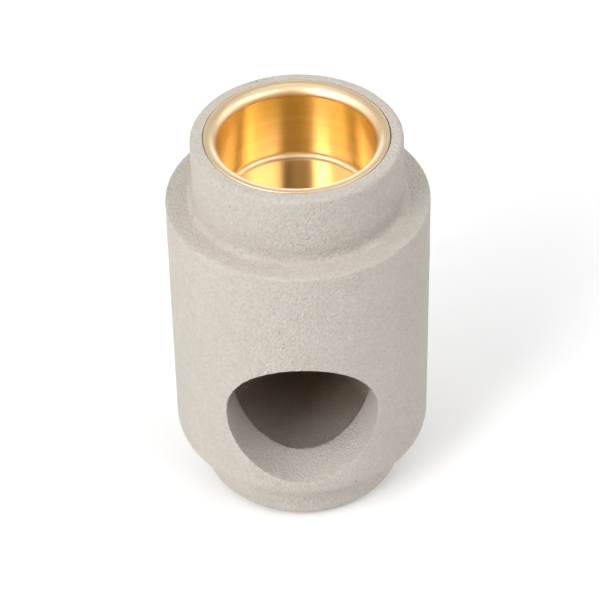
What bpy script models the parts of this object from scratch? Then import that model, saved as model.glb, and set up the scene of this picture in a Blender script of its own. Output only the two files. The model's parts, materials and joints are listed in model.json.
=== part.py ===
"""Tealight oil burner: a turned cast-stone body with a lift-out brass dish in its neck.

The body is one thick tube with a foot, a wide waist and a neck. A round window opens its
chamber at the front (-Y), where a tealight goes in under the dish. Lengths are in metres.
Heights build up from the table, where the four pads stand, along +Z.
"""

import math

import bmesh
import bpy
from mathutils import Matrix, Vector

# Dish: an open cup with a rolled rim.
DISH_INNER_DIAMETER = 0.0472
DISH_WALL = 0.0008
DISH_DEPTH = 0.0259
DISH_CORNER_RADIUS = 0.0019
RIM_WIDTH = 0.0041
RIM_HEIGHT = 0.0024
RIM_OUTER_ROUNDING = 0.0004
RIM_INNER_ROUNDING = 0.0030
RIM_PROUD = 0.0001

# Stone body, from the underside of its foot.
FOOT_HEIGHT = 0.0154
WAIST_HEIGHT = 0.0892
NECK_HEIGHT = 0.0222
WAIST_WALL = 0.0153
NECK_LIP_WALL = 0.00385
FOOT_INSET = 0.0086
FLOOR_THICKNESS = 0.0120
CHAMBER_CORNER_RADIUS = 0.0030

# Window, bored level from the front into the chamber.
WINDOW_DIAMETER = 0.0463
SILL_ABOVE_FLOOR = 0.0107

# Roundings on the stone.
NECK_TOP_ROUNDING = 0.0015
SHOULDER_ROUNDING = 0.0010
NECK_FILLET = 0.0016
WAIST_BOTTOM_ROUNDING = 0.0045
FOOT_FILLET = 0.0025
FOOT_BOTTOM_ROUNDING = 0.0025

# Pads under the foot.
PAD_COUNT = 4
PAD_DIAMETER = 0.0100
PAD_THICKNESS = 0.0015
PAD_ROUNDING = 0.0004
PAD_EDGE_MARGIN = 0.0015

# Clearances.
BORE_CLEARANCE = 0.0003
RIM_CLEARANCE = 0.00025
SEAT_GAP = 0.0003
GLUE_GAP = 0.0003

# Facets.
ROUND_SEGMENTS = 64
PAD_SEGMENTS = 20
ARC_STEPS = 4
MERGE_DISTANCE = 1e-6
SMOOTH_ANGLE = math.radians(35)
CUT_MARGIN = 0.005

# Radii that follow.
DISH_INNER_RADIUS = DISH_INNER_DIAMETER / 2
DISH_OUTER_RADIUS = DISH_INNER_RADIUS + DISH_WALL
RIM_RADIUS = DISH_INNER_RADIUS + RIM_WIDTH
CHAMBER_RADIUS = DISH_OUTER_RADIUS + BORE_CLEARANCE
SEAT_RADIUS = RIM_RADIUS + RIM_CLEARANCE
NECK_RADIUS = SEAT_RADIUS + NECK_LIP_WALL
WAIST_RADIUS = max(CHAMBER_RADIUS + WAIST_WALL, NECK_RADIUS)
FOOT_RADIUS = WAIST_RADIUS - FOOT_INSET
WINDOW_RADIUS = WINDOW_DIAMETER / 2

# Heights that follow.
STONE_BASE = PAD_THICKNESS + GLUE_GAP
WAIST_BASE = STONE_BASE + FOOT_HEIGHT
SHOULDER_TOP = WAIST_BASE + WAIST_HEIGHT
STONE_TOP = SHOULDER_TOP + NECK_HEIGHT
CHAMBER_FLOOR = STONE_BASE + FLOOR_THICKNESS
WINDOW_CENTRE = CHAMBER_FLOOR + SILL_ABOVE_FLOOR + WINDOW_RADIUS
RIM_TOP = STONE_TOP + RIM_PROUD
RIM_UNDERSIDE = RIM_TOP - RIM_HEIGHT
SEAT_LEDGE = RIM_UNDERSIDE - SEAT_GAP
DISH_FLOOR = RIM_TOP - DISH_DEPTH
DISH_UNDERSIDE = DISH_FLOOR - DISH_WALL

# A rounding never takes more than its share of the step that it sits on.
SHOULDER_STEP = WAIST_RADIUS - NECK_RADIUS
SHOULDER_SHARE = SHOULDER_STEP / (SHOULDER_ROUNDING + NECK_FILLET)
FOOT_SHARE = FOOT_INSET / (WAIST_BOTTOM_ROUNDING + FOOT_FILLET)


def material(name, colour, roughness, metallic=0.0):
    """A plain Principled material."""
    made = bpy.data.materials.new(name)
    made.use_nodes = True
    shader = made.node_tree.nodes["Principled BSDF"]
    shader.inputs["Base Color"].default_value = (*colour, 1.0)
    shader.inputs["Roughness"].default_value = roughness
    shader.inputs["Metallic"].default_value = metallic
    return made


def rounding(radius, height, size, start):
    """A quarter arc about (radius, height), from the angle start and turning anticlockwise.

    A negative size runs the same arc clockwise, which makes a hollow fillet.
    """
    turn = math.copysign(90, size)
    angles = [math.radians(start + turn * step / ARC_STEPS) for step in range(ARC_STEPS + 1)]
    return [(radius + abs(size) * math.cos(a), height + abs(size) * math.sin(a)) for a in angles]


def turned(name, outline, segments, finish):
    """A solid turned about Z from an outline of (radius, height) that starts and ends on the axis."""
    mesh = bpy.data.meshes.new(name)
    shape = bmesh.new()
    points = [shape.verts.new((radius, 0.0, height)) for radius, height in outline]
    edges = [shape.edges.new(pair) for pair in zip(points, points[1:])]
    bmesh.ops.spin(
        shape, geom=points + edges, cent=(0, 0, 0), axis=(0, 0, 1), angle=math.tau,
        steps=segments, use_merge=True,
    )
    bmesh.ops.remove_doubles(shape, verts=shape.verts, dist=MERGE_DISTANCE)
    bmesh.ops.recalc_face_normals(shape, faces=shape.faces)
    shape.to_mesh(mesh)
    shape.free()
    mesh.shade_smooth()
    mesh.set_sharp_from_angle(angle=SMOOTH_ANGLE)
    mesh.materials.append(finish)
    made = bpy.data.objects.new(name, mesh)
    bpy.context.scene.collection.objects.link(made)
    return made


def stone_outline():
    """Underside, foot, waist, shoulder, neck, dish seat, bore and chamber floor, in that order."""
    shoulder_round = SHOULDER_ROUNDING * min(1.0, SHOULDER_SHARE)
    neck_fillet = NECK_FILLET * min(1.0, SHOULDER_SHARE)
    waist_round = WAIST_BOTTOM_ROUNDING * min(1.0, FOOT_SHARE)
    foot_fillet = FOOT_FILLET * min(1.0, FOOT_SHARE)
    top_round = min(NECK_TOP_ROUNDING, NECK_LIP_WALL / 2)
    points = [(0.0, STONE_BASE)]
    points += rounding(
        FOOT_RADIUS - FOOT_BOTTOM_ROUNDING, STONE_BASE + FOOT_BOTTOM_ROUNDING,
        FOOT_BOTTOM_ROUNDING, -90,
    )
    points += rounding(FOOT_RADIUS + foot_fillet, WAIST_BASE - foot_fillet, -foot_fillet, 180)
    points += rounding(WAIST_RADIUS - waist_round, WAIST_BASE + waist_round, waist_round, -90)
    points += rounding(
        WAIST_RADIUS - shoulder_round, SHOULDER_TOP - shoulder_round, shoulder_round, 0
    )
    points += rounding(NECK_RADIUS + neck_fillet, SHOULDER_TOP + neck_fillet, -neck_fillet, -90)
    points += rounding(NECK_RADIUS - top_round, STONE_TOP - top_round, top_round, 0)
    points += [(SEAT_RADIUS, STONE_TOP), (SEAT_RADIUS, SEAT_LEDGE), (CHAMBER_RADIUS, SEAT_LEDGE)]
    points += rounding(
        CHAMBER_RADIUS - CHAMBER_CORNER_RADIUS, CHAMBER_FLOOR + CHAMBER_CORNER_RADIUS,
        -CHAMBER_CORNER_RADIUS, 0,
    )
    points.append((0.0, CHAMBER_FLOOR))
    return points


def dish_outline():
    """Underside, cup wall, rim and the inside down to the dish's floor, in that order."""
    outer_corner = DISH_CORNER_RADIUS + DISH_WALL
    points = [(0.0, DISH_UNDERSIDE)]
    points += rounding(
        DISH_OUTER_RADIUS - outer_corner, DISH_UNDERSIDE + outer_corner, outer_corner, -90
    )
    points += [(DISH_OUTER_RADIUS, RIM_UNDERSIDE), (RIM_RADIUS, RIM_UNDERSIDE)]
    points += rounding(
        RIM_RADIUS - RIM_OUTER_ROUNDING, RIM_TOP - RIM_OUTER_ROUNDING, RIM_OUTER_ROUNDING, 0
    )
    points += rounding(
        DISH_INNER_RADIUS + RIM_INNER_ROUNDING, RIM_TOP - RIM_INNER_ROUNDING,
        RIM_INNER_ROUNDING, 90,
    )
    points += rounding(
        DISH_INNER_RADIUS - DISH_CORNER_RADIUS, DISH_FLOOR + DISH_CORNER_RADIUS,
        -DISH_CORNER_RADIUS, 0,
    )
    points.append((0.0, DISH_FLOOR))
    return points


def pad_outline():
    """A flat disc with its lower edge rounded, standing on the table."""
    radius = PAD_DIAMETER / 2
    points = [(0.0, 0.0)]
    points += rounding(radius - PAD_ROUNDING, PAD_ROUNDING, PAD_ROUNDING, -90)
    points += [(radius, PAD_THICKNESS), (0.0, PAD_THICKNESS)]
    return points


def window_cutter():
    """A round bar from in front of the body to the middle of the chamber."""
    length = WAIST_RADIUS + CUT_MARGIN
    mesh = bpy.data.meshes.new("window_cutter")
    shape = bmesh.new()
    bmesh.ops.create_cone(
        shape, cap_ends=True, segments=ROUND_SEGMENTS, radius1=WINDOW_RADIUS,
        radius2=WINDOW_RADIUS, depth=length,
    )
    shape.transform(Matrix.Rotation(math.radians(90), 4, "X"))
    shape.to_mesh(mesh)
    shape.free()
    cutter = bpy.data.objects.new("window_cutter", mesh)
    bpy.context.scene.collection.objects.link(cutter)
    cutter.location = (0.0, -length / 2, WINDOW_CENTRE)
    cutter.hide_render = True
    cutter.display_type = "WIRE"
    return cutter


def stone_body(finish):
    """The one-piece stone body with its window."""
    body = turned("stone_body", stone_outline(), ROUND_SEGMENTS, finish)
    window = body.modifiers.new("window", "BOOLEAN")
    window.operation = "DIFFERENCE"
    window.solver = "EXACT"
    window.object = window_cutter()
    return body


def brass_dish(finish):
    """The loose dish. It lifts straight up out of the neck, along Z."""
    return turned("brass_dish", dish_outline(), ROUND_SEGMENTS, finish)


def foot_pads(finish):
    """The pads, evenly spaced just inside the flat of the foot."""
    flat_radius = FOOT_RADIUS - FOOT_BOTTOM_ROUNDING
    circle = flat_radius - PAD_EDGE_MARGIN - PAD_DIAMETER / 2
    for number in range(PAD_COUNT):
        angle = math.tau * (number + 0.5) / PAD_COUNT
        pad = turned(f"foot_pad_{number + 1}", pad_outline(), PAD_SEGMENTS, finish)
        pad.location = Vector((circle * math.cos(angle), circle * math.sin(angle), 0.0))


def main():
    for old in list(bpy.data.objects):
        bpy.data.objects.remove(old)
    stone = material("cast_stone", (0.62, 0.58, 0.52), 0.9)
    brass = material("brushed_brass", (0.86, 0.62, 0.24), 0.25, 1.0)
    silicone = material("silicone", (0.72, 0.71, 0.68), 0.45)
    stone_body(stone)
    brass_dish(brass)
    foot_pads(silicone)


main()
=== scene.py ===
"""A tealight oil burner: a sandy cast-stone body and a loose brushed-brass dish.

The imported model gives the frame. Each piece here is made in place around it, rides on the same
body and stands for the same node. Lengths are in metres.
"""

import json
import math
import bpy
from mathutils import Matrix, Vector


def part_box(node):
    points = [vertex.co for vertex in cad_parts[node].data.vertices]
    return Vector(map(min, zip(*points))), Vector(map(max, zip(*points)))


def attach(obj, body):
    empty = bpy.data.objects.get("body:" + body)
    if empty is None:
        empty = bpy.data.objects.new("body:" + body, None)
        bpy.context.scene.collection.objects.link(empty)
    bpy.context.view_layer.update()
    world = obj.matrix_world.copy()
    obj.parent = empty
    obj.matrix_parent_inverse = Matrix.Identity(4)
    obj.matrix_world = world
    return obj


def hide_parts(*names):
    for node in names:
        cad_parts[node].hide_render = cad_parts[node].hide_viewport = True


bl_info = {
    "name": "Tealight Oil Burner",
    "version": (1, 0, 0),
    "blender": (4, 5, 0),
    "location": "View3D > Sidebar > Oil Burner",
    "description": "Models a stone oil burner with a brass dish, and a small studio to show it in",
    "category": "Add Mesh",
}

import bmesh
import bpy
import numpy as np
from bpy.props import FloatProperty, FloatVectorProperty, PointerProperty
from mathutils import Matrix, Quaternion, Vector, noise

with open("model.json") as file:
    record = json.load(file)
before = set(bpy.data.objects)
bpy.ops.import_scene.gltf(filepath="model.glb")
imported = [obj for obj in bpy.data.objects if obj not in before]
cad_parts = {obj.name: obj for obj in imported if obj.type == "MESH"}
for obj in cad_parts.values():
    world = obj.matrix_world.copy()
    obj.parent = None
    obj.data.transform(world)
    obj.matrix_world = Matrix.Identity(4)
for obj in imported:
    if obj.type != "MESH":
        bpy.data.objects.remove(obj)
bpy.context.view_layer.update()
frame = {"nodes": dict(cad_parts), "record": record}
STONE_LOW, STONE_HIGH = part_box("stone_body")
DISH_LOW, DISH_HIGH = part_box("brass_dish")
PAD_NODES = sorted(name for name in frame["nodes"] if name.startswith("foot_pad_"))
OPENINGS = {hole["name"]: hole["box_m"] for hole in frame["record"]["physics"]["openings"]}
WINDOW_HEIGHT = (OPENINGS["window_across"][0][2] + OPENINGS["window_across"][1][2]) / 2
MERGE_DISTANCE = 1e-6
CUT_MARGIN = 0.005
BORE_MARGIN = 0.0001
OUTER_PART = 0.028
STONE_BUMP = 0.00064
LINE_BUMP = 0.000004
SHARP_ANGLE = math.radians(50)
CUT_ANGLE = math.radians(40)
LIGHT_DISTANCE = 1.2
LIGHT_AIM = Vector((0.0, 0.0, 0.07))
STAGE_RADIUS = 1.05


def length(name, default, description):
    """A length that the sidebar shows in the scene's units."""
    return FloatProperty(
        name=name, default=default, description=description, unit="LENGTH", subtype="DISTANCE",
        min=0.0, precision=5,
    )


def colour(name, default, description):
    """A linear colour without alpha."""
    return FloatVectorProperty(
        name=name, default=default, description=description, subtype="COLOR", size=3,
        min=0.0, max=1.0,
    )


def factor(name, default, description):
    """A plain number from 0 to 1."""
    return FloatProperty(
        name=name, default=default, description=description, subtype="FACTOR", min=0.0,
        max=1.0, precision=3,
    )


class StoneSettings(bpy.types.PropertyGroup):
    """Sizes and finish of the stone body."""

    foot_height: length("Foot Height", 0.0154, "From the underside of the foot to the waist")
    waist_height: length("Waist Height", 0.0892, "From the foot to the shoulder")
    neck_radius: length("Neck Radius", 0.0318, "Outside of the neck")
    foot_radius: length("Foot Radius", 0.0314, "Outside of the foot")
    seat_radius: length("Seat Radius", 0.02795, "Recess that the dish's rim drops into")
    seat_depth: length("Seat Depth", 0.0026, "From the top down to the ledge under the rim")
    chamber_radius: length("Chamber Radius", 0.0247, "Bore from the neck down to the floor")
    floor_thickness: length("Floor Thickness", 0.0120, "Stone under the chamber")
    window_radius: length("Window Radius", 0.02315, "Round opening at the front")
    top_rounding: length("Top Rounding", 0.0015, "Outer edge of the neck's top")
    shoulder_rounding: length("Shoulder Rounding", 0.0008, "Outer edge of the shoulder")
    neck_fillet: length("Neck Fillet", 0.0022, "Hollow where the neck meets the shoulder")
    waist_rounding: length("Waist Rounding", 0.0045, "Lower edge of the waist")
    foot_fillet: length("Foot Fillet", 0.0025, "Hollow where the foot meets the waist")
    foot_rounding: length("Foot Rounding", 0.0025, "Lower edge of the foot")
    chamber_fillet: length("Chamber Fillet", 0.0030, "Corner of the chamber's floor")
    skin_row: length("Skin Row", 0.00076, "Spacing of the points that carry the worn skin")
    bore_row: length("Bore Row", 0.0015, "Spacing of the points on bored faces")
    sliver: length("Sliver", 0.00004, "Points of a fresh cut that are this close are merged")
    edge_wear: length("Edge Wear", 0.00008, "How far the window's edges are worn back")
    unevenness: length("Unevenness", 0.00010, "Hand-scale rise and fall of the outer faces")
    grain_relief: length("Grain Relief", 0.00006, "Depth of the coarse grain in the mesh")
    chip_depth: length("Chip Depth", 0.00015, "Depth of the chips along the cut edges")
    grain_size: length("Grain Size", 0.00085, "Width of one sand grain")
    tone: colour("Stone", (0.561, 0.518, 0.465), "Middle tone of the stone")
    dark_tone: colour("Dark Grain", (0.412, 0.368, 0.314), "Tone of the darker grains")
    light_tone: colour("Light Grain", (0.670, 0.632, 0.580), "Tone of the paler grains")
    # Painted shade: the chamber is painted darker high up and at the back, where shade falls.
    painted_shade_tone: colour("Painted Shade", (0.385, 0.300, 0.200), "Tone high up and far back in the chamber")
    speck_tone: colour("Speck", (0.130, 0.085, 0.050), "Tone of the mineral specks")


class DishSettings(bpy.types.PropertyGroup):
    """Sizes and finish of the brass dish."""

    inner_radius: length("Inner Radius", 0.0236, "Inside of the cup")
    wall: length("Wall", 0.0008, "Thickness of the cup's wall and floor")
    depth: length("Depth", 0.0259, "From the top of the rim to the floor inside")
    rim_height: length("Rim Height", 0.0024, "Thickness of the rolled rim")
    outer_rounding: length("Outer Rounding", 0.0004, "Outer edges of the rim")
    under_rounding: length("Under Rounding", 0.0003, "Hollow where the rim meets the cup")
    inner_rounding: length("Inner Rounding", 0.0032, "Roll of the rim into the cup")
    corner: length("Corner", 0.0019, "Inside corner of the floor")
    play: length("Play", 0.00005, "How far the dish sits to the left in its seat")
    # The floor's brass is paler than the wall's, a painted highlight over the floor.
    brass: colour("Floor Brass", (0.860, 0.600, 0.460), "Polished brass of the floor")
    wall_brass: colour("Wall Brass", (0.930, 0.680, 0.165), "Deep brass of the brushed wall")
    rim_brass: colour("Rim Brass", (0.905, 0.700, 0.440), "Paler brass on the satin rim")
    polish: factor("Polish", 0.22, "Roughness of the floor")
    satin: factor("Satin", 0.50, "Roughness of the rim")
    brushed: factor("Brushed", 0.30, "Roughness of the brushed wall")
    line_pitch: length("Line Pitch", 0.00034, "Spacing of the turned lines")


class PadSettings(bpy.types.PropertyGroup):
    """Sizes and finish of the pads under the foot."""

    glue: length("Glue", 0.00025, "Film of glue between a pad and the foot")
    glue_inset: length("Glue Inset", 0.0004, "From the edge of a pad to the film of glue")
    rounding: length("Rounding", 0.0004, "Lower edge of a pad")
    tone: colour("Silicone", (0.520, 0.510, 0.480), "Cloudy silicone")


class StudioSettings(bpy.types.PropertyGroup):
    """Camera, lights and floor."""

    lens: FloatProperty(
        name="Lens", default=156.8, description="Focal length on a 36 mm sensor", min=10.0,
        unit="CAMERA",
    )
    distance: length("Distance", 0.8121, "From the camera to the point it looks at")
    aim_height: length("Aim Height", 0.0646, "Height of the point the camera looks at")
    elevation: FloatProperty(
        name="Elevation", default=math.radians(40.51), subtype="ANGLE",
        description="Angle of the camera above the horizon",
    )
    room_light: factor("Room Light", 0.07, "Brightness of the room around the burner")
    roll: FloatProperty(
        name="Roll", default=math.radians(-1.17), subtype="ANGLE",
        description="Tilt of the camera about its own axis",
    )


# Node helpers.


def wire(tree, kind, inputs=None, **settings):
    """A new node. Inputs maps a socket's name or number to a value or to another node's output."""
    made = tree.nodes.new(kind)
    for key, value in settings.items():
        setattr(made, key, value)
    for key, value in (inputs or {}).items():
        socket = made.inputs[key]
        if isinstance(value, bpy.types.NodeSocket):
            tree.links.new(value, socket)
        else:
            socket.default_value = value
    return made


def calculate(tree, operation, *values):
    """The output of a Math node."""
    return wire(tree, "ShaderNodeMath", dict(enumerate(values)), operation=operation).outputs[0]


def blended(tree, amount, first, second, mode="MIX"):
    """The output of a colour Mix node."""
    made = wire(tree, "ShaderNodeMix", data_type="RGBA", blend_type=mode)
    for socket, value in zip((made.inputs[0], made.inputs[6], made.inputs[7]),
                             (amount, first, second)):
        if isinstance(value, bpy.types.NodeSocket):
            tree.links.new(value, socket)
        elif isinstance(value, (int, float)):
            socket.default_value = value
        else:
            socket.default_value = (*value, 1.0)
    return made.outputs[2]


def ramp(tree, value, low, high, to_low=0.0, to_high=1.0):
    """Maps a value from one range to another, smoothly and clamped."""
    made = wire(
        tree, "ShaderNodeMapRange", {0: value, 1: low, 2: high, 3: to_low, 4: to_high},
        interpolation_type="SMOOTHSTEP",
    )
    return made.outputs[0]


def scaled(tree, vector, amount):
    """A vector multiplied by a number."""
    made = wire(tree, "ShaderNodeVectorMath", {0: vector, 3: amount}, operation="SCALE")
    return made.outputs[0]


def group(name, inputs, outputs):
    """An empty shader node group, with its input and output nodes."""
    tree = bpy.data.node_groups.new(name, "ShaderNodeTree")
    for label, kind, default in inputs:
        socket = tree.interface.new_socket(name=label, in_out="INPUT", socket_type=kind)
        if default is not None:
            socket.default_value = default
    for label, kind in outputs:
        tree.interface.new_socket(name=label, in_out="OUTPUT", socket_type=kind)
    return tree, tree.nodes.new("NodeGroupInput").outputs, tree.nodes.new("NodeGroupOutput").inputs


def placed(tree, name, inputs):
    """A group placed in a material, as its outputs."""
    made = wire(tree, "ShaderNodeGroup", node_tree=bpy.data.node_groups[name])
    for key, value in inputs.items():
        if isinstance(value, bpy.types.NodeSocket):
            tree.links.new(value, made.inputs[key])
        else:
            made.inputs[key].default_value = value
    return made.outputs


def sand_grain_group():
    """Rounded grains packed side by side, each a little different in tone."""
    tree, given, result = group(
        "sand_grain",
        [("Vector", "NodeSocketVector", None), ("Grain Size", "NodeSocketFloat", 0.0008)],
        [("Height", "NodeSocketFloat"), ("Shade", "NodeSocketFloat")],
    )
    place = scaled(tree, given["Vector"], calculate(tree, "DIVIDE", 1.0, given["Grain Size"]))
    cells = wire(
        tree, "ShaderNodeTexVoronoi", {"Vector": place, "Scale": 1.0, "Smoothness": 0.6},
        feature="SMOOTH_F1",
    )
    fine = wire(
        tree, "ShaderNodeTexNoise",
        {"Vector": place, "Scale": 1.9, "Detail": 3.0, "Roughness": 0.65},
    )
    shade = wire(
        tree, "ShaderNodeTexNoise",
        {"Vector": place, "Scale": 0.9, "Detail": 4.0, "Roughness": 0.7},
    )
    dome = calculate(tree, "SUBTRACT", 1.0, cells.outputs["Distance"])
    lumps = calculate(tree, "MULTIPLY", fine.outputs[0], 0.9)
    tree.links.new(calculate(tree, "ADD", dome, lumps), result["Height"])
    tree.links.new(ramp(tree, shade.outputs[0], 0.3, 0.7), result["Shade"])


def mottling_group():
    """Soft clouds, for tone that drifts over a face."""
    tree, given, result = group(
        "mottling",
        [("Vector", "NodeSocketVector", None), ("Cloud Size", "NodeSocketFloat", 0.01)],
        [("Cloud", "NodeSocketFloat")],
    )
    place = scaled(tree, given["Vector"], calculate(tree, "DIVIDE", 1.0, given["Cloud Size"]))
    clouds = wire(
        tree, "ShaderNodeTexNoise",
        {"Vector": place, "Scale": 1.0, "Detail": 4.0, "Roughness": 0.55},
    )
    tree.links.new(ramp(tree, clouds.outputs[0], 0.32, 0.68), result["Cloud"])


def specks_group():
    """Lone dots at random places. Share is how many of the places have one."""
    tree, given, result = group(
        "specks",
        [
            ("Vector", "NodeSocketVector", None),
            ("Spacing", "NodeSocketFloat", 0.003),
            ("Radius", "NodeSocketFloat", 0.0003),
            ("Share", "NodeSocketFloat", 0.2),
        ],
        [("Mask", "NodeSocketFloat")],
    )
    place = scaled(tree, given["Vector"], calculate(tree, "DIVIDE", 1.0, given["Spacing"]))
    cells = wire(tree, "ShaderNodeTexVoronoi", {"Vector": place, "Scale": 1.0}, feature="F1")
    pick = wire(tree, "ShaderNodeSeparateColor", {0: cells.outputs["Color"]})
    chosen = calculate(tree, "LESS_THAN", pick.outputs[0], given["Share"])
    varied = calculate(tree, "MULTIPLY_ADD", pick.outputs[1], 0.8, 0.6)
    radius = calculate(tree, "DIVIDE", given["Radius"], given["Spacing"])
    radius = calculate(tree, "MULTIPLY", radius, varied)
    dot = calculate(tree, "DIVIDE", cells.outputs["Distance"], radius)
    dot = ramp(tree, dot, 0.6, 1.2, 1.0, 0.0)
    tree.links.new(calculate(tree, "MULTIPLY", dot, chosen), result["Mask"])


def turned_lines_group():
    """Fine lines that a lathe tool and a scouring pad leave round the Z axis."""
    tree, given, result = group(
        "turned_lines",
        [
            ("Vector", "NodeSocketVector", None),
            ("Pitch", "NodeSocketFloat", 0.0002),
            ("Drift", "NodeSocketFloat", 2.0),
        ],
        [("Height", "NodeSocketFloat"), ("Shade", "NodeSocketFloat")],
    )
    split = wire(tree, "ShaderNodeSeparateXYZ", {0: given["Vector"]})
    flat = wire(tree, "ShaderNodeCombineXYZ", {0: split.outputs[0], 1: split.outputs[1]})
    turn = wire(tree, "ShaderNodeVectorMath", {0: flat.outputs[0]}, operation="NORMALIZE")
    radius = wire(tree, "ShaderNodeVectorMath", {0: flat.outputs[0]}, operation="LENGTH")
    way = wire(tree, "ShaderNodeSeparateXYZ", {0: scaled(tree, turn.outputs[0], given["Drift"])})
    across = wire(
        tree, "ShaderNodeCombineXYZ",
        {
            0: calculate(tree, "DIVIDE", radius.outputs["Value"], given["Pitch"]),
            1: calculate(tree, "DIVIDE", split.outputs[2], given["Pitch"]),
            2: way.outputs[0],
        },
    )
    fine = wire(
        tree, "ShaderNodeTexNoise",
        {"Vector": across.outputs[0], "W": way.outputs[1], "Scale": 1.0, "Detail": 2.0},
        noise_dimensions="4D",
    )
    broad = wire(
        tree, "ShaderNodeTexNoise",
        {"Vector": across.outputs[0], "W": way.outputs[1], "Scale": 0.17, "Detail": 2.0},
        noise_dimensions="4D",
    )
    tree.links.new(fine.outputs[0], result["Height"])
    tree.links.new(ramp(tree, broad.outputs[0], 0.3, 0.7), result["Shade"])


def new_material(name, roughness, metallic=0.0):
    """A material with a Principled shader, its tree, that shader and object coordinates."""
    made = bpy.data.materials.new(name)
    made.use_nodes = True
    tree = made.node_tree
    shader = tree.nodes["Principled BSDF"]
    shader.inputs["Roughness"].default_value = roughness
    shader.inputs["Metallic"].default_value = metallic
    return made, tree, shader, tree.nodes.new("ShaderNodeTexCoord").outputs["Object"]


def bumped(tree, height, distance, strength=1.0):
    """The normal of a Bump node."""
    inputs = {"Height": height, "Distance": distance, "Strength": strength}
    return wire(tree, "ShaderNodeBump", inputs).outputs["Normal"]


def attribute(tree, name):
    """A number that the mesh carries on its points."""
    return wire(tree, "ShaderNodeAttribute", attribute_name=name).outputs["Fac"]


def stone_material(stone):
    """Sandy cast stone. Bored faces are smoother than the blasted outside."""
    made, tree, shader, place = new_material("cast_stone", 0.92)
    bored = attribute(tree, "bored")
    edge = attribute(tree, "edge")
    painted_shade = attribute(tree, "painted_shade")
    grain = placed(tree, "sand_grain", {"Vector": place, "Grain Size": stone.grain_size})
    clouds = placed(tree, "mottling", {"Vector": place, "Cloud Size": 0.014})
    patches = placed(tree, "mottling", {"Vector": place, "Cloud Size": 0.0035})
    specks = placed(
        tree, "specks", {"Vector": place, "Spacing": 0.0040, "Radius": 0.00034, "Share": 0.13}
    )
    pits = placed(
        tree, "specks", {"Vector": place, "Spacing": 0.0021, "Radius": 0.00026, "Share": 0.16}
    )
    shade = blended(tree, grain["Shade"], stone.dark_tone, stone.light_tone)
    shade = blended(tree, 0.70, shade, stone.tone)
    cloud = blended(tree, clouds["Cloud"], (0.975, 0.970, 0.965), (1.0, 1.0, 1.0))
    patch = blended(tree, patches["Cloud"], (0.975, 0.970, 0.965), (1.0, 1.0, 1.0))
    shade = blended(tree, 1.0, shade, cloud, "MULTIPLY")
    shade = blended(tree, 1.0, shade, patch, "MULTIPLY")
    # Edges are painted paler: partly wear, partly a painted highlight along them.
    shade = blended(tree, ramp(tree, edge, 0.25, 0.9, 0.0, 0.12), shade, stone.light_tone)
    # Pits are painted darker: painted shade inside them.
    shade = blended(tree, calculate(tree, "MULTIPLY", pits["Mask"], 0.20), shade, stone.dark_tone)
    shade = blended(tree, calculate(tree, "MULTIPLY", specks["Mask"], 0.55), shade,
                    stone.speck_tone)
    # Painted shade in the chamber, darker high up and towards the back.
    shade = blended(tree, painted_shade, shade, stone.painted_shade_tone)
    tree.links.new(shade, shader.inputs["Base Color"])
    rough = calculate(tree, "SUBTRACT", 1.0, calculate(tree, "MULTIPLY", bored, 0.5))
    relief = calculate(tree, "MULTIPLY", grain["Height"], rough)
    relief = calculate(tree, "SUBTRACT", relief, calculate(tree, "MULTIPLY", pits["Mask"], 0.45))
    tree.links.new(bumped(tree, relief, STONE_BUMP), shader.inputs["Normal"])
    shader.inputs["Specular IOR Level"].default_value = 0.25
    return made


def brass_material(dish):
    """Satin brass on the rim, polished brass on the floor and on the outside. The floor's brass is
    paler than the wall's, a painted highlight over the floor.
    """
    made, tree, shader, place = new_material("satin_brass", dish.polish, 1.0)
    rim = attribute(tree, "rim")
    outside = attribute(tree, "outside")
    lines = placed(tree, "turned_lines", {"Vector": place, "Pitch": dish.line_pitch, "Drift": 0.8})
    tint = blended(tree, lines["Shade"], (0.96, 0.955, 0.94), (1.0, 1.0, 1.0))
    deep = calculate(tree, "MULTIPLY", outside, 0.6)
    # Floor and outside take the paler floor brass, a painted highlight on the floor.
    brass = blended(tree, deep, dish.brass, dish.wall_brass)
    # The rim and the floor's inside corner take the paler rim brass; on the corner it is a painted
    # highlight ring.
    brass = blended(tree, rim, brass, dish.rim_brass)
    tree.links.new(blended(tree, 1.0, brass, tint, "MULTIPLY"), shader.inputs["Base Color"])
    rough = blended(tree, rim, (dish.polish,) * 3, (dish.satin,) * 3)
    tree.links.new(rough, shader.inputs["Roughness"])
    line_depth = calculate(tree, "SUBTRACT", 1.0, calculate(tree, "MULTIPLY", rim, 0.6))
    height = calculate(tree, "MULTIPLY", lines["Height"], line_depth)
    tree.links.new(bumped(tree, height, LINE_BUMP), shader.inputs["Normal"])
    shader.inputs["Coat Weight"].default_value = 1.0
    shader.inputs["Coat Roughness"].default_value = 0.25
    return made


def brushed_material(dish):
    """The cup's wall, brushed round the axis, so that reflections stretch up and down."""
    made, tree, shader, place = new_material("brushed_brass", dish.brushed, 1.0)
    rim = attribute(tree, "rim")
    lines = placed(tree, "turned_lines", {"Vector": place, "Pitch": dish.line_pitch, "Drift": 3.0})
    tint = blended(tree, lines["Shade"], (0.92, 0.90, 0.86), (1.0, 1.0, 1.0))
    brass = blended(tree, rim, dish.wall_brass, dish.rim_brass)
    tree.links.new(blended(tree, 1.0, brass, tint, "MULTIPLY"), shader.inputs["Base Color"])
    tree.links.new(bumped(tree, lines["Height"], LINE_BUMP), shader.inputs["Normal"])
    shader.inputs["Coat Weight"].default_value = 1.0
    shader.inputs["Coat Roughness"].default_value = 0.22
    shader.inputs["Anisotropic"].default_value = 0.85
    shader.inputs["Anisotropic Rotation"].default_value = 0.25
    tangent = wire(tree, "ShaderNodeTangent", direction_type="RADIAL", axis="Z")
    tree.links.new(tangent.outputs[0], shader.inputs["Tangent"])
    return made


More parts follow.
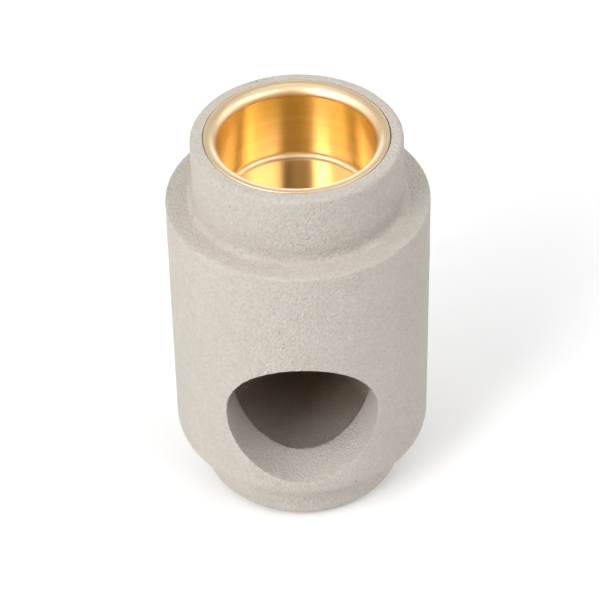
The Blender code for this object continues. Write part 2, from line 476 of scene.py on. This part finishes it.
def pad_material(pads):
    """Cloudy silicone with a little dust."""
    made, tree, shader, place = new_material("cloudy_silicone", 0.42)
    clouds = placed(tree, "mottling", {"Vector": place, "Cloud Size": 0.004})
    dust = placed(
        tree, "specks", {"Vector": place, "Spacing": 0.0012, "Radius": 0.00014, "Share": 0.3}
    )
    grain = placed(tree, "sand_grain", {"Vector": place, "Grain Size": 0.0005})
    tone = blended(tree, clouds["Cloud"], tuple(0.9 * c for c in pads.tone), pads.tone)
    dusty = blended(tree, calculate(tree, "MULTIPLY", dust["Mask"], 0.5), tone, (0.68, 0.65, 0.60))
    tree.links.new(dusty, shader.inputs["Base Color"])
    rough = calculate(tree, "MULTIPLY_ADD", clouds["Cloud"], 0.12, 0.36)
    tree.links.new(rough, shader.inputs["Roughness"])
    tree.links.new(bumped(tree, grain["Height"], 0.00002, 0.6), shader.inputs["Normal"])
    return made


def floor_material():
    """Plain white studio paper."""
    made, tree, shader, place = new_material("studio_paper", 0.9)
    clouds = placed(tree, "mottling", {"Vector": place, "Cloud Size": 0.05})
    paper = blended(tree, clouds["Cloud"], (0.94, 0.94, 0.94), (0.96, 0.96, 0.96))
    tree.links.new(paper, shader.inputs["Base Color"])
    return made


# Mesh helpers.


def turned(corners, steps, arc_steps, row=None):
    """A bmesh turned about Z from corners of (radius, height, rounding), axis to axis.

    Row is the widest gap between two rings of points, away from the axis.
    """
    shape = bmesh.new()
    points = [shape.verts.new((radius, 0.0, height)) for radius, height, _ in corners]
    for pair in zip(points, points[1:]):
        shape.edges.new(pair)
    for point, (_, _, rounding) in zip(points, corners):
        if rounding:
            bmesh.ops.bevel(
                shape, geom=[point], offset=rounding, offset_type="OFFSET", affect="VERTICES",
                segments=arc_steps, profile=0.5, material=-1,
            )
    if row:
        for edge in shape.edges[:]:
            cuts = int(edge.calc_length() / row)
            if cuts and min(point.co.x for point in edge.verts) > row:
                bmesh.ops.subdivide_edges(shape, edges=[edge], cuts=cuts)
    bmesh.ops.spin(
        shape, geom=shape.verts[:] + shape.edges[:], cent=(0, 0, 0), axis=(0, 0, 1),
        angle=math.tau, steps=steps, use_merge=True,
    )
    bmesh.ops.remove_doubles(shape, verts=shape.verts, dist=MERGE_DISTANCE)
    bmesh.ops.recalc_face_normals(shape, faces=shape.faces)
    return shape


def linked(name, shape):
    """An object of that name, made from a bmesh, in the scene."""
    mesh = bpy.data.meshes.new(name)
    shape.to_mesh(mesh)
    shape.free()
    made = bpy.data.objects.new(name, mesh)
    bpy.context.scene.collection.objects.link(made)
    return made


def settle_modifiers(piece):
    """Takes the shape that a piece's modifiers give as its own mesh."""
    bpy.context.view_layer.update()
    seen = piece.evaluated_get(bpy.context.evaluated_depsgraph_get())
    mesh = bpy.data.meshes.new_from_object(seen)
    piece.modifiers.clear()
    piece.data = mesh


def finish_piece(piece, materials, body, node):
    """Gives a piece its materials and its body, and hides the imported part of the node it stands
    for.
    """
    piece.data.materials.clear()
    for material in materials:
        piece.data.materials.append(material)
    piece.data.shade_smooth()
    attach(piece, body)
    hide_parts(node)


def point_array(mesh, what="co"):
    """A mesh's points, or their normals, as an array of rows."""
    flat = np.empty(len(mesh.vertices) * 3)
    if what == "co":
        mesh.vertices.foreach_get("co", flat)
    else:
        mesh.vertex_normals.foreach_get("vector", flat)
    return flat.reshape(-1, 3)


def store(mesh, name, values):
    """Stores one number for each point of a mesh."""
    layer = mesh.attributes.new(name, "FLOAT", "POINT")
    layer.data.foreach_set("value", np.asarray(values, dtype=np.float32))


def smoothstep(values, low, high):
    """0 below low, 1 above high, and a smooth rise between."""
    share = np.clip((values - low) / (high - low), 0.0, 1.0)
    return share * share * (3.0 - 2.0 * share)


def clouds(points, size, octaves, seed):
    """Layered noise of about -1 to 1 at each point."""
    offset = Vector((seed * 3.17, seed * 5.71, seed * 7.93))
    return np.array(
        [
            noise.fractal(Vector(point) / size + offset, 0.9, 2.1, octaves)
            for point in points
        ]
    )


# The stone body.


def stone_heights(stone):
    """Heights of the waist's ends, the ledge under the rim and the chamber's floor."""
    waist_low = STONE_LOW.z + stone.foot_height
    waist_high = waist_low + stone.waist_height
    ledge = STONE_HIGH.z - stone.seat_depth
    return waist_low, waist_high, ledge, STONE_LOW.z + stone.floor_thickness


def uncut_corners(stone):
    """The outline of the body before anything is bored into it."""
    waist_low, waist_high, _, _ = stone_heights(stone)
    return [
        (0.0, STONE_LOW.z, 0.0),
        (stone.foot_radius, STONE_LOW.z, stone.foot_rounding),
        (stone.foot_radius, waist_low, stone.foot_fillet),
        (STONE_HIGH.x, waist_low, stone.waist_rounding),
        (STONE_HIGH.x, waist_high, stone.shoulder_rounding),
        (stone.neck_radius, waist_high, stone.neck_fillet),
        (stone.neck_radius, STONE_HIGH.z, stone.top_rounding),
        (stone.chamber_radius / 2, STONE_HIGH.z, 0.0),
        (0.0, STONE_HIGH.z, 0.0),
    ]


def bore_corners(stone):
    """The outline of what is bored out from above: dish seat, bore and chamber."""
    _, _, ledge, floor = stone_heights(stone)
    above = STONE_HIGH.z + CUT_MARGIN
    return [
        (0.0, floor, 0.0),
        (stone.chamber_radius, floor, stone.chamber_fillet),
        (stone.chamber_radius, ledge, 0.0),
        (stone.seat_radius, ledge, 0.0),
        (stone.seat_radius, above, 0.0),
        (0.0, above, 0.0),
    ]


def window_bar(stone):
    """The round bar that cuts the window, from the front to the middle of the chamber."""
    reach = STONE_HIGH.x + CUT_MARGIN
    radius = stone.window_radius
    outline = [(0.0, 0.0, 0.0), (radius, 0.0, 0.0), (radius, reach, 0.0), (0.0, reach, 0.0)]
    shape = turned(outline, 160, 1, stone.bore_row)
    bmesh.ops.rotate(
        shape, verts=shape.verts, cent=(0, 0, 0), matrix=Matrix.Rotation(math.pi / 2, 3, "X")
    )
    bmesh.ops.translate(shape, verts=shape.verts, vec=(0.0, 0.0, WINDOW_HEIGHT))
    return linked("window_bar", shape)


def weather_skin(mesh, stone):
    """Works unevenness and grain into the uncut skin, never outwards."""
    points = point_array(mesh)
    normals = point_array(mesh, "normal")
    broad = clouds(points, 0.016, 2, 1)
    coarse = clouds(points, 0.0021, 2, 2)
    depth = stone.unevenness * (0.5 - 0.5 * broad) + stone.grain_relief * (0.5 - 0.5 * coarse)
    points -= normals * np.clip(depth, 0.0, None)[:, None]
    mesh.vertices.foreach_set("co", points.ravel())
    mesh.update()


def from_window(points, stone):
    """How far each point is outside the window's bar."""
    return np.hypot(points[:, 0], points[:, 2] - WINDOW_HEIGHT) - stone.window_radius


def soften_cuts(mesh, stone):
    """Rounds the fresh edges of the window a little and knocks chips out of them."""
    shape = bmesh.new()
    shape.from_mesh(mesh)
    bmesh.ops.remove_doubles(shape, verts=shape.verts, dist=stone.sliver)
    points = np.array([point.co for point in shape.verts])
    near = np.abs(from_window(points, stone)) < stone.sliver * 2
    cut = [
        point for point, close in zip(shape.verts, near)
        if close and point.co.y < 0.0
        and any(edge.calc_face_angle(0.0) > CUT_ANGLE for edge in point.link_edges)
    ]
    chip = clouds([point.co for point in cut], 0.0024, 3, 3)
    for point, amount in zip(cut, chip):
        size = stone.edge_wear + stone.chip_depth * max(amount - 0.05, 0.0) * 2
        point.co -= point.normal.normalized() * size
    shape.to_mesh(mesh)
    shape.free()


def mark_skin(mesh, stone):
    """Stores which points are bored or level, which lie on edges that are painted paler as wear and
    as painted highlight, and how much painted shade the chamber gets.
    """
    points = point_array(mesh)
    radius = np.hypot(points[:, 0], points[:, 1])
    off_bar = from_window(points, stone)
    in_front = points[:, 1] < 0.0
    _, waist_high, _, floor = stone_heights(stone)
    in_window = smoothstep(-off_bar, -0.0003, 0.0003) * in_front
    above_floor = points[:, 2] > floor - BORE_MARGIN
    in_bore = (radius < stone.seat_radius + BORE_MARGIN) & above_floor
    bored = np.maximum(in_window, in_bore)
    window_edge = np.exp(-np.abs(off_bar) / 0.0008) * in_front * (radius > OUTER_PART)
    to_top = np.hypot(radius - stone.neck_radius, points[:, 2] - STONE_HIGH.z)
    top_edge = np.exp(-to_top / 0.0012)
    to_shoulder = np.hypot(radius - STONE_HIGH.x, points[:, 2] - waist_high)
    shoulder_edge = np.exp(-to_shoulder / 0.0016)
    inside = (radius < stone.chamber_radius + BORE_MARGIN) & above_floor
    height = smoothstep(points[:, 2], floor, floor + 0.030)
    back = smoothstep(points[:, 1], -0.012, 0.026)
    level = point_array(mesh, "normal")[:, 2] ** 2
    store(mesh, "bored", np.maximum(bored, level))
    # Painted shade: darker high up and at the back of the chamber.
    store(mesh, "painted_shade", inside * 0.72 * np.maximum(height, back))
    # Edges painted paler in the material: partly wear, partly a painted highlight.
    store(mesh, "edge", np.maximum.reduce([window_edge, top_edge, shoulder_edge]))


class BURNER_OT_stone_body(bpy.types.Operator):
    """Make the stone body with its window, chamber and dish seat"""

    bl_idname = "burner.stone_body"
    bl_label = "Stone Body"

    def execute(self, context):
        stone = context.scene.burner_stone
        body = linked("burner_body", turned(uncut_corners(stone), 348, 6, stone.skin_row))
        weather_skin(body.data, stone)
        bore = linked("bore", turned(bore_corners(stone), 240, 6, stone.bore_row))
        bar = window_bar(stone)
        for cutter in (bore, bar):
            cut = body.modifiers.new(cutter.name, "BOOLEAN")
            cut.operation = "DIFFERENCE"
            cut.solver = "EXACT"
            cut.object = cutter
        settle_modifiers(body)
        for cutter in (bore, bar):
            bpy.data.objects.remove(cutter)
        soften_cuts(body.data, stone)
        mark_skin(body.data, stone)
        finish_piece(body, [stone_material(stone)], "burner", "stone_body")
        body.data.set_sharp_from_angle(angle=SHARP_ANGLE)
        return {"FINISHED"}


# The dish.


def dish_corners(dish):
    """The dish's outline from the middle of its underside round to the middle of its floor."""
    rim_top = DISH_HIGH.z
    rim_low = rim_top - dish.rim_height
    rim_radius = DISH_HIGH.x
    outer = dish.inner_radius + dish.wall
    floor = rim_top - dish.depth
    return [
        (0.0, floor - dish.wall, 0.0),
        (outer, floor - dish.wall, dish.corner + dish.wall),
        (outer, rim_low, dish.under_rounding),
        (rim_radius, rim_low, dish.outer_rounding),
        (rim_radius, rim_top, dish.outer_rounding),
        (dish.inner_radius, rim_top, dish.inner_rounding),
        (dish.inner_radius, floor, dish.corner),
        (0.0, floor, 0.0),
    ]


def mark_brass(mesh, dish, roll_end, wall_foot):
    """Stores which points are satin, on the rim and round the floor, and which lie outside. Round
    the floor the paler rim brass is a painted highlight ring.
    """
    points = point_array(mesh)
    radius = np.hypot(points[:, 0] + dish.play, points[:, 1])
    underside = DISH_HIGH.z - dish.depth - dish.wall / 2
    bend_low = wall_foot - dish.corner
    roll = smoothstep(points[:, 2], roll_end - 0.0002, roll_end + 0.0012)
    # The floor's inside corner gets the paler rim brass too, a painted highlight ring.
    bend = smoothstep(-points[:, 2], -wall_foot - 0.0002, -wall_foot + 0.0004)
    bend *= smoothstep(points[:, 2], bend_low, bend_low + 0.0002)
    outside = (radius > dish.inner_radius + dish.wall / 2) & (roll == 0.0)
    store(mesh, "rim", np.maximum(roll, bend))
    store(mesh, "outside", outside | (points[:, 2] < underside))


class BURNER_OT_brass_dish(bpy.types.Operator):
    """Make the loose brass dish that stands in the neck"""

    bl_idname = "burner.brass_dish"
    bl_label = "Brass Dish"

    def execute(self, context):
        dish = context.scene.burner_dish
        shape = turned(dish_corners(dish), 256, 10)
        bmesh.ops.translate(shape, verts=shape.verts, vec=(-dish.play, 0.0, 0.0))
        cup = linked("burner_dish", shape)
        roll_end = DISH_HIGH.z - dish.inner_rounding
        wall_foot = DISH_HIGH.z - dish.depth + dish.corner
        mark_brass(cup.data, dish, roll_end, wall_foot)
        finish_piece(cup, [brass_material(dish), brushed_material(dish)], "dish", "brass_dish")
        for face in cup.data.polygons:
            middle = face.center
            inward = face.normal.x * middle.x + face.normal.y * middle.y < 0.0
            face.material_index = int(inward and wall_foot < middle.z < roll_end)
        return {"FINISHED"}


# The pads.


class BURNER_OT_foot_pads(bpy.types.Operator):
    """Make the silicone pads under the foot"""

    bl_idname = "burner.foot_pads"
    bl_label = "Foot Pads"

    def execute(self, context):
        pads = context.scene.burner_pads
        silicone = pad_material(pads)
        for number, node in enumerate(PAD_NODES, 1):
            low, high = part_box(node)
            middle = (low + high) / 2
            radius = (high.x - low.x) / 2
            film = radius - pads.glue_inset
            shape = turned(
                [
                    (0.0, low.z, 0.0),
                    (radius, low.z, pads.rounding),
                    (radius, high.z, pads.rounding / 2),
                    (film, high.z, 0.0),
                    (film, high.z + pads.glue, 0.0),
                    (0.0, high.z + pads.glue, 0.0),
                ],
                48, 4,
            )
            bmesh.ops.translate(shape, verts=shape.verts, vec=(middle.x, middle.y, 0.0))
            pad = linked(f"burner_pad_{number}", shape)
            finish_piece(pad, [silicone], "burner", node)
            pad.data.set_sharp_from_angle(angle=SHARP_ANGLE)
        return {"FINISHED"}


# The studio.

SOFT_BOXES = [
    # Name, azimuth and elevation in degrees, width and height in metres, power in watts.
    ("key_low", -58, 14, (1.1, 0.6), 4.2),
    ("key_high", -58, 40, (1.1, 0.6), 5.1),
    ("key_edge", -38, 30, (0.35, 1.0), 7.0),
    ("side_left", -110, 30, (0.8, 1.0), 2.7),
    ("fill", 52, 40, (0.9, 0.6), 6.7),
    ("side_right", 105, 30, (0.8, 1.0), 4.5),
    ("back", 180, 15, (1.4, 0.6), 5.6),
    ("top", 180, 75, (0.9, 0.5), 2.6),
    ("front_high", -12, 63, (0.5, 0.3), 0.8),
]
# The dark part of the room: its way, and how far from it the dark begins and is full.
DARK_WAY = (-6, 40)
DARK_SPREAD = (38, 24)


def way_to(azimuth, elevation):
    """The direction from the burner. Azimuth 0 is in front of it, and 90 is to its right."""
    across, up = math.radians(azimuth), math.radians(elevation)
    return Vector((math.sin(across) * math.cos(up), -math.cos(across) * math.cos(up), math.sin(up)))


def soft_box(name, azimuth, elevation, size, power):
    """A rectangular soft light that faces the burner and isn't seen itself."""
    lamp = bpy.data.lights.new(name, "AREA")
    lamp.shape = "RECTANGLE"
    lamp.size, lamp.size_y = size
    lamp.energy = power
    made = bpy.data.objects.new(name, lamp)
    way = way_to(azimuth, elevation)
    made.location = LIGHT_AIM + way * LIGHT_DISTANCE
    made.rotation_euler = (-way).to_track_quat("-Z", "Y").to_euler()
    made.visible_camera = False
    bpy.context.scene.collection.objects.link(made)


def studio_world(studio):
    """A white backdrop. The room that lights the burner is even, but for a dark part in front."""
    world = bpy.data.worlds.new("studio_room")
    world.use_nodes = True
    tree = world.node_tree
    tree.nodes.clear()
    toward = tree.nodes.new("ShaderNodeTexCoord").outputs["Generated"]
    dark = way_to(*DARK_WAY)
    facing = wire(tree, "ShaderNodeVectorMath", {0: toward, 1: dark}, operation="DOT_PRODUCT")
    dark_from, dark_to = (math.cos(math.radians(spread)) for spread in DARK_SPREAD)
    level = ramp(tree, facing.outputs["Value"], dark_from, dark_to, studio.room_light, 0.0)
    backdrop = wire(tree, "ShaderNodeBackground", {"Color": (1, 1, 1, 1), "Strength": 1.0})
    room = wire(tree, "ShaderNodeBackground", {"Color": (1, 1, 1, 1), "Strength": level})
    sight = wire(tree, "ShaderNodeLightPath")
    mixed = wire(
        tree, "ShaderNodeMixShader",
        {0: sight.outputs["Is Camera Ray"], 1: room.outputs[0], 2: backdrop.outputs[0]},
    )
    wire(tree, "ShaderNodeOutputWorld", {0: mixed.outputs[0]})
    bpy.context.scene.world = world


def studio_camera(studio):
    """The camera, looking down at the front of the burner."""
    lens = bpy.data.cameras.new("studio_camera")
    lens.lens = studio.lens
    lens.sensor_width = 36.0
    lens.clip_start = 0.01
    camera = bpy.data.objects.new("studio_camera", lens)
    up = studio.elevation
    back = Vector((0.0, -math.cos(up), math.sin(up)))
    camera.location = Vector((0.0, 0.0, studio.aim_height)) + back * studio.distance
    look = (-back).to_track_quat("-Z", "Y")
    camera.rotation_mode = "QUATERNION"
    camera.rotation_quaternion = look @ Quaternion((0.0, 0.0, 1.0), studio.roll)
    bpy.context.scene.collection.objects.link(camera)
    bpy.context.scene.camera = camera


class BURNER_OT_studio(bpy.types.Operator):
    """Make the floor, the lights and the camera"""

    bl_idname = "burner.studio"
    bl_label = "Studio"

    def execute(self, context):
        shape = bmesh.new()
        bmesh.ops.create_circle(shape, cap_ends=True, radius=STAGE_RADIUS, segments=96)
        floor = linked("studio_floor", shape)
        floor.data.materials.append(floor_material())
        studio_world(context.scene.burner_studio)
        for lamp in SOFT_BOXES:
            soft_box(*lamp)
        context.scene.view_settings.view_transform = "Standard"
        studio_camera(context.scene.burner_studio)
        return {"FINISHED"}


class BURNER_PT_sidebar(bpy.types.Panel):
    """Lists the pieces of the burner with their sizes and colours"""

    bl_label = "Oil Burner"
    bl_idname = "BURNER_PT_sidebar"
    bl_space_type = "VIEW_3D"
    bl_region_type = "UI"
    bl_category = "Oil Burner"

    def draw(self, context):
        for operator, settings in PIECES:
            box = self.layout.box()
            box.operator(operator.bl_idname)
            group_of_values = getattr(context.scene, settings)
            for value in group_of_values.bl_rna.properties:
                if value.identifier not in {"rna_type", "name"}:
                    box.prop(group_of_values, value.identifier)


SETTINGS = {
    "burner_stone": StoneSettings,
    "burner_dish": DishSettings,
    "burner_pads": PadSettings,
    "burner_studio": StudioSettings,
}
PIECES = [
    (BURNER_OT_stone_body, "burner_stone"),
    (BURNER_OT_brass_dish, "burner_dish"),
    (BURNER_OT_foot_pads, "burner_pads"),
    (BURNER_OT_studio, "burner_studio"),
]
CLASSES = [*SETTINGS.values(), *(operator for operator, _ in PIECES), BURNER_PT_sidebar]


def register():
    for item in CLASSES:
        bpy.utils.register_class(item)
    for name, settings in SETTINGS.items():
        setattr(bpy.types.Scene, name, PointerProperty(type=settings))


def unregister():
    for name in SETTINGS:
        delattr(bpy.types.Scene, name)
    for item in reversed(CLASSES):
        bpy.utils.unregister_class(item)


def main():
    register()
    sand_grain_group()
    mottling_group()
    specks_group()
    turned_lines_group()
    bpy.ops.burner.stone_body()
    bpy.ops.burner.brass_dish()
    bpy.ops.burner.foot_pads()
    bpy.ops.burner.studio()


if __name__ == "__main__":
    main()
